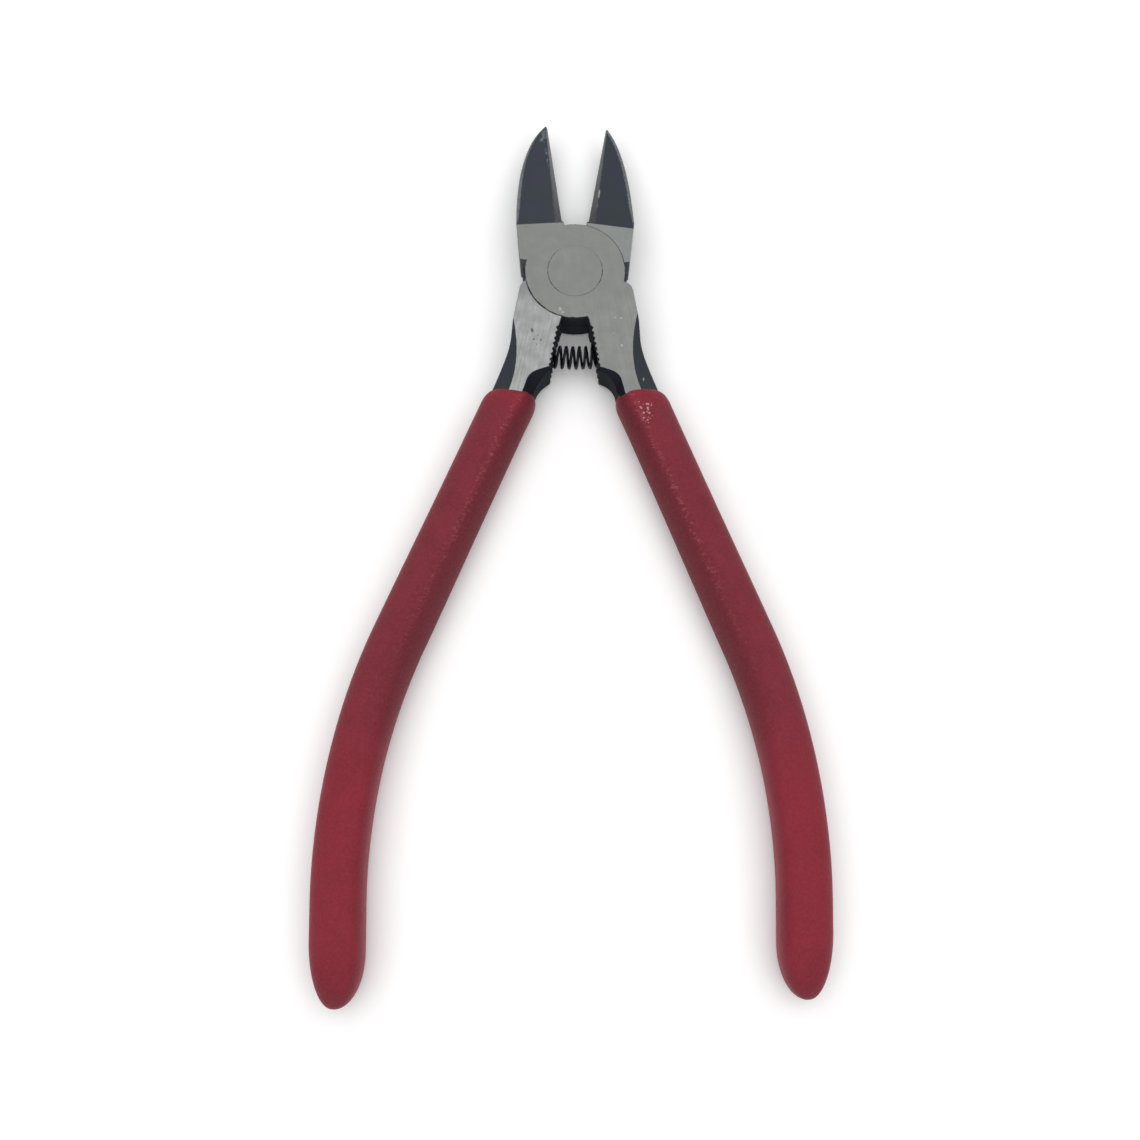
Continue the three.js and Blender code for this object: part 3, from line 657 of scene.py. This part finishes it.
def dipped_vinyl():
    """Plasticised PVC, dipped and cured: a muted crimson skin with a fine pebble, paler towards its edges."""
    made, tree = finish("Dipped PVC, matt crimson")
    own = add(tree, "Attribute", attribute_name="own").outputs["Vector"]
    across = add(tree, "Attribute", attribute_name="across").outputs["Fac"]
    scuff = add(tree, "Attribute", attribute_name="scuff").outputs["Fac"]
    down = add(tree, "SeparateXYZ", {"Vector": own}).outputs["Y"]

    # Pigment clouds, dulled by dirt above the bend, fresher at the lip and where the hand holds it
    cloud = add(tree, "TexNoise", {
        "Vector": own, "Scale": 1 / PIGMENT_CLOUD, "Detail": 4.0, "Roughness": 0.6,
    })
    dull = add(tree, "ValToRGB", {"Fac": cloud}, stops=[(0.3, "#692731"), (0.7, "#742a34")])
    clean = add(tree, "ValToRGB", {"Fac": cloud}, stops=[(0.3, "#76242f"), (0.7, "#812834")])
    held = add(tree, "MapRange", {"Value": down, "From Min": HELD_SPAN[0], "From Max": HELD_SPAN[1]},
               interpolation_type="SMOOTHSTEP")
    lip = add(tree, "MapRange", {
        "Value": down, "From Min": FRESH_LIP_SPAN[0], "From Max": FRESH_LIP_SPAN[1], "To Max": 0.8,
    }, interpolation_type="SMOOTHSTEP")
    fresh = add(tree, "Math", {"Value": held, "Value_001": lip}, operation="MAXIMUM")
    colour = add(tree, "Mix", {"Factor_Float": fresh, "A_Color": dull, "B_Color": clean}, data_type="RGBA")

    # Painted shade on the slope that faces the other handle, which spreads over the ridge towards the bend
    spread = add(tree, "MapRange", {
        "Value": down, "From Min": SLOPE_SHADE_SPAN[0], "From Max": SLOPE_SHADE_SPAN[1],
        "To Min": SLOPE_SHADE_EDGE[0], "To Max": SLOPE_SHADE_EDGE[1],
    })
    slope = add(tree, "MapRange", {
        "Value": across, "From Min": spread, "From Max": SLOPE_SHADE_FULL, "To Max": 0.5,
    })
    slope = add(tree, "MapRange", {"Value": held, "From Max": 0.7, "To Min": slope, "To Max": 0.0})
    # Dirt on the points
    point = add(tree, "MapRange", {
        "Value": down, "From Min": POINT_DIRT_SPAN[0], "From Max": POINT_DIRT_SPAN[1], "To Max": 0.5,
    })
    # Pebble, with painted highlights on its crowns
    pebble = add(tree, "TexNoise", {"Vector": own, "Scale": 1 / PEBBLE, "Detail": 4.0, "Roughness": 0.65})
    pebble_highlight = add(tree, "MapRange", {"Value": pebble, "From Min": 0.4, "From Max": 0.75, "To Max": 0.4})
    # Painted highlights: pale flecks across the ridge above the bend, where the pebble catches the light
    scale = (1 / FLECK_LENGTH, 1 / FLECK_WIDTH, 1 / FLECK_LENGTH)
    across_ridge = add(tree, "Mapping", {"Vector": own, "Scale": scale})
    flecks = add(tree, "TexNoise", {"Vector": across_ridge, "Scale": 1.0, "Detail": 3.0, "Roughness": 0.7})
    gap = add(tree, "Math", {"Value": across, "Value_001": RIDGE}, operation="SUBTRACT")
    gap = add(tree, "Math", {"Value": gap}, operation="ABSOLUTE")
    near = add(tree, "MapRange", {
        "Value": gap, "From Min": RIDGE_REACH[0], "From Max": RIDGE_REACH[1], "To Min": -0.2, "To Max": 0.0,
    })
    ridge_glints = add(tree, "Math", {"Value": flecks, "Value_001": near}, operation="ADD")
    above_bend = add(tree, "MapRange", {
        "Value": down, "From Min": RIDGE_GLINT_SPAN[0], "From Max": RIDGE_GLINT_SPAN[1], "To Max": 0.45,
    })
    ridge_glints = add(tree, "MapRange", {
        "Value": ridge_glints, "From Min": 0.52, "From Max": 0.64, "To Max": above_bend,
    })
    # Pale scuffs where a patch of the skin is worn
    speck = add(tree, "TexVoronoi", {"Vector": own, "Scale": 1 / SCUFF_SPACING}).outputs["Distance"]
    worn = add(tree, "Math", {"Value": scuff, "Value_001": -0.42, "Value_002": speck},
               operation="MULTIPLY_ADD")
    worn = add(tree, "MapRange", {"Value": worn, "From Min": 0.0, "From Max": -0.16, "To Max": 0.65})
    # Laid over in turn: painted shade on the slope, dirt on the points, painted highlights on the pebble's
    # crowns and along the ridge, and pale scuffs
    layers = (
        (slope, "#541d26"), (point, "#5c1e28"), (pebble_highlight, "#8c343f"), (ridge_glints, "#a8606a"), (worn, "#d09a9e"),
    )
    for share, over in layers:
        colour = add(tree, "Mix", {"Factor_Float": share, "A_Color": colour, "B_Color": paint(over)},
                     data_type="RGBA")

    rough = add(tree, "MapRange", {
        "Value": pebble, "From Min": 0.3, "From Max": 0.7, "To Min": 0.66, "To Max": 0.54,
    })
    bump = add(tree, "Bump", {"Height": pebble, "Strength": 0.5, "Distance": PEBBLE_HEIGHT * MM})
    surface = add(tree, "BsdfPrincipled", {
        "Base Color": colour, "Roughness": rough, "IOR": 1.53, "Specular IOR Level": 0.2, "Normal": bump,
        "Sheen Weight": 0.3, "Sheen Roughness": 0.35, "Sheen Tint": paint("#c4606e"),
    })
    add(tree, "OutputMaterial", {"Surface": surface})
    return made


# Steel halves

# Block of space that holds a half: its sides, and its margins at the hidden end, at the tip and on the faces
SKIN_SIDES = (-11.5, 12.5)
SKIN_END_MARGIN = 1.0
SKIN_TIP_MARGIN = 0.6
SKIN_FACE_MARGIN = 0.5

# Where the finish changes on a half
GROUND_DEPTH = 0.12
SEAM_REACH = 0.2
FAR = 9.0
JAW_LEAD = 0.3
HEAD_BAND = 5.0
SLOPE_TOUCH = 0.06
INNER_SLOPE_TOP = -9.0
INNER_SLOPE_FADE = (0.5, 1.0)
THROAT_TOP = -7.0
THROAT_SIDE = 7.0
THROAT_INSET = 1.0
THROAT_END = -18.5
NOTCH_RADIUS = 7.0

# Tones of the oxide, from 0, black, to 1, palest
SLOPE_TONE = 0.66
INNER_SLOPE_TONE = 0.32
SIDE_TONE = 0.62
THROAT_TONE = 0.42
THROAT_END_TONE = 0.2
NOTCH_TONE = 1.0

# The jaw's own oxide tone, and small marks in the bare faces and along the cutting bevels, as x, y,
# half length, half width and heading in degrees
FRONT.update(
    jaw_tone=0.87,
    nicks=[
        (-3.9, -6.7, 0.75, 0.45, 60), (-3.6, -7.4, 0.45, 0.3, 30), (6.4, -10.3, 0.38, 0.32, 0),
        (5.6, -15.3, 0.45, 0.38, 0), (4.6, -12.9, 0.26, 0.24, 0), (5.4, -10.0, 0.26, 0.24, 0),
        (8.25, -21.9, 0.6, 0.24, 70),
    ],
    wear=[
        (-0.5, 28.6, 2.4, 1.3, 75), (-1.2, 27.6, 1.4, 0.8, 60), (-0.8, 24.9, 1.5, 0.4, 86),
        (-0.95, 22.4, 2.2, 0.3, 88),
    ],
    pits=[],
)
REAR.update(
    jaw_tone=0.81,
    nicks=[(0.95, -9.2, 0.45, 0.25, 60), (2.6, -8.9, 0.6, 0.14, 30), (-1.35, 15.9, 1.7, 0.3, 86)],
    wear=[(-1.5, 13.2, 1.6, 0.3, 86)],
    pits=[
        (5.3, -12.5, 0.62, 0.36, 60), (4.65, -14.1, 0.28, 0.24, 0), (3.45, -14.0, 0.28, 0.24, 0),
        (4.1, -13.2, 0.2, 0.18, 0), (4.0, -14.9, 0.2, 0.18, 0),
    ],
)


def nearest_mark(points, half, kind):
    """1 at the middle of a mark and 0 from its rim on, on the upper side only."""
    level = np.zeros(len(points))
    for x, y, long, wide, heading in half[kind]:
        cosine, sine = cos(radians(heading)), sin(radians(heading))
        right, up = points[:, 0] - x, points[:, 1] - y
        along, across = right * cosine + up * sine, up * cosine - right * sine
        level = np.maximum(level, 1 - np.hypot(along / long, across / wide))
    return level * ((points[:, 2] - MID) * half["up"] > 0)


def half_measures(half, points):
    """What the finish of a half reads at each point: distances to ground borders, tones, dirt and marks."""
    x, y, z = points.T
    jaw, neck = jaw_faces(half, x, y, z), neck_faces(half, x, y, z)
    depth = np.minimum(z, HEAD_THICKNESS - z)
    radius, turn = np.hypot(x, y), np.arctan2(y, x)
    on_jaw = jaw["downhill"] > -JAW_LEAD

    above_head = np.where(y > HEAD_BAND, jaw["downhill"], -FAR)
    below_head = np.where(y < -HEAD_BAND, np.maximum(neck["past_outer"], neck["past_inner"]), -FAR)
    face_gap = reduce(np.maximum, (depth - GROUND_DEPTH, above_head, below_head))

    slope = np.where(on_jaw, jaw["facet"], np.maximum(neck["outer"], neck["inner"]))
    on_slope = slope > -SLOPE_TOUCH
    throat = (y < THROAT_TOP) & (x < THROAT_SIDE) & (neck["outer"] < -THROAT_INSET)
    throat = throat & ~on_slope & (depth > GROUND_DEPTH)
    inner_side = fade(neck["past_inner"] - neck["past_outer"], INNER_SLOPE_FADE) * (y < INNER_SLOPE_TOP)
    tone = np.where(on_slope, SLOPE_TONE + (INNER_SLOPE_TONE - SLOPE_TONE) * inner_side, SIDE_TONE)
    tone = np.where(throat, np.where(y < THROAT_END, THROAT_END_TONE, THROAT_TONE), tone)
    tone = np.where((np.abs(y) < HEAD_BAND) & (radius > NOTCH_RADIUS), NOTCH_TONE, tone)
    tone = np.where(on_jaw, half["jaw_tone"], tone)

    ring = np.where(z > MID, half["disc"], half["other_disc"])
    at_ring = (z < MID) | (np.minimum(jaw["outline"], neck["outline"]) > -SEAM_REACH)
    near_rivet = np.clip(1 - np.abs(radius - RIVET_RADIUS) / SEAM_REACH, 0, 1)
    near_ring = np.clip(1 - np.abs(radius - ring) / SEAM_REACH, 0, 1) * at_ring
    seam = np.maximum(
        near_rivet * seam_dirt(turn, RIVET_SEAM_MIDDLE, RIVET_SEAM_OPENINGS),
        near_ring * seam_dirt(turn, half["seam_middle"], DISC_SEAM_OPENINGS),
    )
    return dict(
        own=points,
        face_gap=face_gap,
        bevel_gap=np.where(on_jaw, -jaw["bevel"], FAR),
        rim_gap=np.where(on_jaw, -jaw["chamfer"], FAR),
        oxide_tone=tone,
        throat=throat,
        seam=seam * (depth < RIVET_HEAD_DEPTH),
        nick=nearest_mark(points, half, "nicks"),
        pit=nearest_mark(points, half, "pits"),
        wear=nearest_mark(points, half, "wear"),
    )


def make_half(half, name):
    """One forged half, skinned from its distance field, with the measures its finish needs."""
    low = (SKIN_SIDES[0], NECK_HIDDEN_END - SKIN_END_MARGIN, -SKIN_FACE_MARGIN)
    high = (SKIN_SIDES[1], half["reach"] + SKIN_TIP_MARGIN, HEAD_THICKNESS + SKIN_FACE_MARGIN)
    points, faces = skin(lambda x, y, z: half_field(half, x, y, z), low, high, GRID)
    made = piece(name, points, faces, half["place"], half["body"], tool_steel(half))
    remember(made, **half_measures(half, points))


# Rivet

def make_rivet():
    """The flush rivet: a shank between two countersunk heads with a slightly broken edge."""
    step = RIVET_EDGE_SHARE * RIVET_EDGE
    rings = [(r, 0.0) for r in RIVET_FACE_RADII]
    rings += [(RIVET_RADIUS - RIVET_EDGE, 0.0), (RIVET_RADIUS - step, step)]
    rings += [(float(bore_radius(z, -RIVET_SLACK)), z) for z in RIVET_HEIGHTS]
    rings += [(r, HEAD_THICKNESS - z) for r, z in reversed(rings[:-1])]
    turn = 2 * pi * np.arange(RIVET_SIDES) / RIVET_SIDES
    circle = np.column_stack([np.cos(turn), np.sin(turn), np.zeros(RIVET_SIDES)])
    points = np.vstack([circle * r + (0, 0, z) for r, z in rings])
    faces = loft_faces(len(rings), RIVET_SIDES)
    made = piece("pivot_rivet", points, faces, FRONT["place"], "front", rivet_steel())
    remember(made, own=points)


# Grips

# A worn patch near the right grip's lip: its middle, its half width and half length, and where it ends
# as a share of those
SCUFF_AT = (7.44, -27.9)
SCUFF_HALF = (1.3, 2.4)
SCUFF_EDGE = 1.6


def grip_rings(half):
    """Height, inset and share of the full section at each ring: the lip, the sleeve and the rounded point."""
    first, last = -GRIP_START - GRIP_LIP_LENGTH, -half["grip_end"] + GRIP_TAPER
    lip = np.linspace(0, pi / 2, LIP_RINGS)
    sleeve = np.linspace(first, last, round((first - last) / GRIP_STEP))[1:]
    taper = np.linspace(0, pi / 2, TAPER_RINGS)[1:]
    rings = [(-GRIP_START - GRIP_LIP_LENGTH * (1 - cos(t)), GRIP_LIP_DEPTH * (1 - sin(t)), 1.0) for t in lip]
    rings += [(y, 0.0, 1.0) for y in sleeve]
    rings += [(last - GRIP_TAPER * sin(t), 0.0, max(cos(t), GRIP_END_SHARE)) for t in taper]
    return rings


def make_grip(half, name, material, scuff_at=None):
    """A dipped sleeve: a soft lip on the neck, an off-centre crest, a slight swell and a rounded point."""
    rings = grip_rings(half)
    turn = 2 * pi * np.arange(SECTION_POINTS) / SECTION_POINTS
    cosine, sine = np.cos(turn), np.sin(turn)
    side = np.sign(cosine)
    points, across = [], []
    for y, inset, share in rings:
        x, angle = handle_centre(half, y)
        swell = GRIP_SWELL * exp(-((y + HANDLE_BEND_START) / GRIP_SWELL_SPREAD) ** 2)
        half_width = (GRIP_HALF_WIDTH + swell - inset) * share
        half_thickness = (GRIP_HALF_THICKNESS - inset) * share
        crest, lean = GRIP_CREST * share, half["grip_shift"] + GRIP_LEAN * (1 - share)
        inner = np.interp(-y, *zip(*[(-at, value) for at, value in GRIP_INNER_SQUARENESS]))
        squareness = np.where(side > 0, GRIP_OUTER_SQUARENESS, inner)
        offset = crest + side * np.abs(cosine) ** (2 / squareness) * (half_width - side * crest)
        height = np.sign(sine) * np.abs(sine) ** (2 / squareness) * half_thickness
        wave = GRIP_LIP_WAVE * np.abs(ripples(turn, GRIP_LIP_RIPPLES))
        wave = (wave + GRIP_LIP_SLANT * np.maximum(offset, 0) / half_width) * inset / GRIP_LIP_DEPTH
        points.append(np.column_stack([x + (offset + lean) / cos(angle), y - wave, MID + height]))
        across.append(offset)
    points = np.vstack(points)
    faces = loft_faces(len(rings), SECTION_POINTS)
    made = piece(name, points, faces, half["place"], half["body"], material)
    scuff = np.zeros(len(points))
    if scuff_at is not None:
        reach = np.hypot(*((points[:, :2] - scuff_at) / SCUFF_HALF).T)
        scuff = np.clip(SCUFF_EDGE - reach, 0, 1) * (points[:, 2] > MID)
    remember(made, own=points, across=np.concatenate(across), scuff=scuff)


# Return spring

def spring_path():
    """Middle of the wire, wound about an arc between the sockets, and the way to it from the coil's axis."""
    socket_x = THROAT_WALL + SOCKET_DEPTH - SPRING_END_GAP
    arc_radius = SPRING_DISTANCE + socket_x / tan(HALF_OPENING)
    arc_y = socket_x * sin(HALF_OPENING) + (arc_radius - SPRING_DISTANCE) * cos(HALF_OPENING)
    reach = HALF_OPENING - SPRING_WIRE / arc_radius
    curls = (2 * HALF_OPENING * arc_radius - 2 * SPRING_WIRE) / SPRING_PITCH
    t = np.linspace(0, 1, round(curls * SPRING_STEPS_PER_TURN) + 1)
    along = np.concatenate([[-HALF_OPENING], reach * (2 * t - 1), [HALF_OPENING]])
    turn = 2 * pi * curls * np.concatenate([[0], t, [1]])
    outward = np.column_stack([np.sin(along), -np.cos(along), np.zeros(len(along))])
    spoke = outward * np.cos(turn)[:, None] + np.array((0, 0, 1)) * np.sin(turn)[:, None]
    path = np.array((0, arc_y, MID)) + arc_radius * outward + SPRING_COIL_RADIUS * spoke
    return path, spoke


def make_spring():
    """One blackened wire wound about an arc, with a short straight run at each end."""
    path, spoke = spring_path()
    heading = np.gradient(path, axis=0)
    heading /= np.linalg.norm(heading, axis=1)[:, None]
    spoke -= heading * np.sum(spoke * heading, axis=1)[:, None]
    spoke /= np.linalg.norm(spoke, axis=1)[:, None]
    cross = np.cross(heading, spoke)
    turns = 2 * pi * np.arange(SPRING_SIDES) / SPRING_SIDES
    sides = [path + (spoke * cos(a) + cross * sin(a)) * SPRING_WIRE / 2 for a in turns]
    points = np.stack(sides, 1).reshape(-1, 3)
    faces = loft_faces(len(path), SPRING_SIDES)
    made = piece("return_spring", points, faces, to_metres, None, spring_steel())
    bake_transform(made)


# Floor, light and camera

# The soft box is in metres and watts, and the camera in pixels of the photograph and in degrees
FLOOR_HEIGHT = MID - GRIP_HALF_THICKNESS
FLOOR_HALF = 900.0
ROOM_LEVEL = 0.26
BOX_HEIGHT_M = 3.0
BOX_SIZE_M = 4.8
BOX_POWER = 129.6
IMAGE_SIZE = 1140
PIVOT_PIXEL = (575.0, 270.3)
FOCAL_PIXELS = 1485.7
MM_PER_PIXEL = 0.178
CAMERA_TILT_DEG = (-12, -0.2, 0.3)
SENSOR_WIDTH = 36


def make_floor():
    """A plain white table under the grips."""
    made = bpy.data.materials.new("Matt white table")
    made.use_nodes = True
    surface = made.node_tree.nodes["Principled BSDF"]
    surface.inputs["Base Color"].default_value = paint("#ffffff")
    surface.inputs["Roughness"].default_value = 0.9
    surface.inputs["Specular IOR Level"].default_value = 0.0
    mesh = bpy.data.meshes.new("table")
    signs = ((-1, -1), (1, -1), (1, 1), (-1, 1))
    mesh.from_pydata([(x * FLOOR_HALF, y * FLOOR_HALF, FLOOR_HEIGHT) for x, y in signs], [], [(0, 1, 2, 3)])
    mesh.transform(to_metres)
    mesh.materials.append(made)
    table = bpy.data.objects.new("table", mesh)
    bpy.context.scene.collection.objects.link(table)


def make_light():
    """A white room and one broad soft box overhead."""
    world = bpy.data.worlds.new("White room")
    bpy.context.scene.world = world
    world.use_nodes = True
    tree = world.node_tree
    path = add(tree, "LightPath").outputs
    seen = path["Is Camera Ray"]
    for ray in ("Is Glossy Ray", "Is Transmission Ray"):
        seen = add(tree, "Math", {"Value": seen, "Value_001": path[ray]}, operation="MAXIMUM")
    level = add(tree, "MapRange", {"Value": seen, "To Min": ROOM_LEVEL, "To Max": 1.0})
    tree.links.new(level.outputs[0], tree.nodes["Background"].inputs["Strength"])
    tree.nodes["Background"].inputs["Color"].default_value = paint("#ffffff")
    lamp = bpy.data.lights.new("Soft box", "AREA")
    lamp.shape = "SQUARE"
    lamp.size = BOX_SIZE_M
    lamp.energy = BOX_POWER
    box = bpy.data.objects.new("Soft box", lamp)
    box.location = (0, 0, BOX_HEIGHT_M)
    box.visible_camera = False
    box.visible_glossy = False
    bpy.context.scene.collection.objects.link(box)


def make_camera():
    """A camera above the tool, leaning back 12 degrees, as the photograph was taken."""
    turns = [Matrix.Rotation(radians(angle), 3, axis) for angle, axis in zip(CAMERA_TILT_DEG, "XYZ")]
    tilt = turns[0] @ turns[1] @ turns[2]
    flip = Matrix(((1, 0, 0), (0, -1, 0), (0, 0, -1)))
    facing = (flip @ tilt @ flip).transposed()
    off_axis = [p - IMAGE_SIZE / 2 for p in PIVOT_PIXEL]
    pivot = flip @ Vector((*off_axis, FOCAL_PIXELS)) * MM_PER_PIXEL
    place = facing.to_4x4()
    place.translation = (Vector((0, 0, HEAD_THICKNESS)) - facing @ pivot) * MM
    lens = bpy.data.cameras.new("camera")
    lens.sensor_width = SENSOR_WIDTH
    lens.lens = SENSOR_WIDTH * FOCAL_PIXELS / IMAGE_SIZE
    camera = bpy.data.objects.new("camera", lens)
    camera.matrix_world = place
    bpy.context.scene.collection.objects.link(camera)
    bpy.context.scene.camera = camera


# The tool and its setting

make_half(FRONT, "front_half")
make_half(REAR, "rear_half")
make_rivet()
vinyl = dipped_vinyl()
make_grip(FRONT, "right_grip", vinyl, scuff_at=SCUFF_AT)
make_grip(REAR, "left_grip", vinyl)
make_spring()
make_floor()
make_light()
make_camera()
bpy.context.scene.view_settings.view_transform = "Standard"
